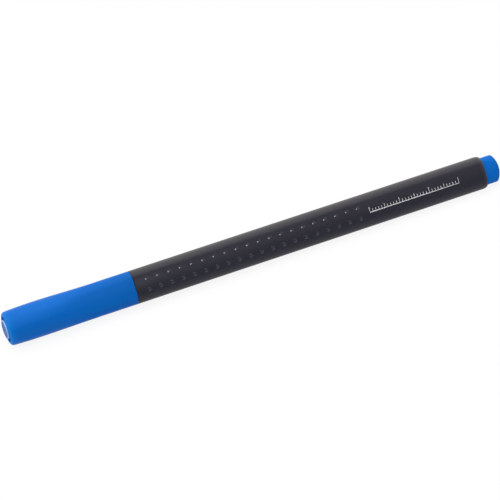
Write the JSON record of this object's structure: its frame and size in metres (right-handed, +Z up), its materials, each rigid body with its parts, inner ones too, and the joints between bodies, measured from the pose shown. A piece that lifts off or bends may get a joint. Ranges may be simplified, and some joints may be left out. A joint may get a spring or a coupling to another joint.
{
  "type": "fineliner pen",
  "caption": "Capped fineliner pen: three-sided black barrel with raised grip dots, blue pull-off cap that swells to a round vented end, fibre nib in a steel tube and blue end plug.",
  "frame": {"origin": "on the resting surface, under the middle of the closed pen's length", "axes": "+X along the pen from its cap to its end plug, +Z up with one barrel face down, +Y away from the pictured side"},
  "size_m": [0.1616, 0.0108, 0.0108],
  "materials": {
    "black_plastic": "satin, finely textured",
    "black_rubber": "soft, slightly glossy",
    "blue_plastic": "satin",
    "pale_blue_plastic": "satin, slightly translucent",
    "steel": "drawn",
    "inked_fibre": "matt, drawn fibres soaked in blue ink",
    "clear_film": "thin clear film"
  },
  "bodies": {
    "pen": {"barrel": "black_plastic", "grip_dots_under": "black_rubber", "grip_dots_back": "black_rubber", "grip_dots_front": "black_rubber", "nose_section": "black_plastic", "nib_tube": "steel", "nib_core": "inked_fibre", "ink_reservoir": "inked_fibre", "reservoir_film": "clear_film", "end_plug": "blue_plastic"},
    "cap": {"cap_shell": "blue_plastic", "cap_liner": "pale_blue_plastic"}
  },
  "joints": [
    {"name": "cap_pull", "type": "slide", "parent": "pen", "child": "cap", "axis": [-1, 0, 0], "range_m": [0, 0.05]}
  ]
}
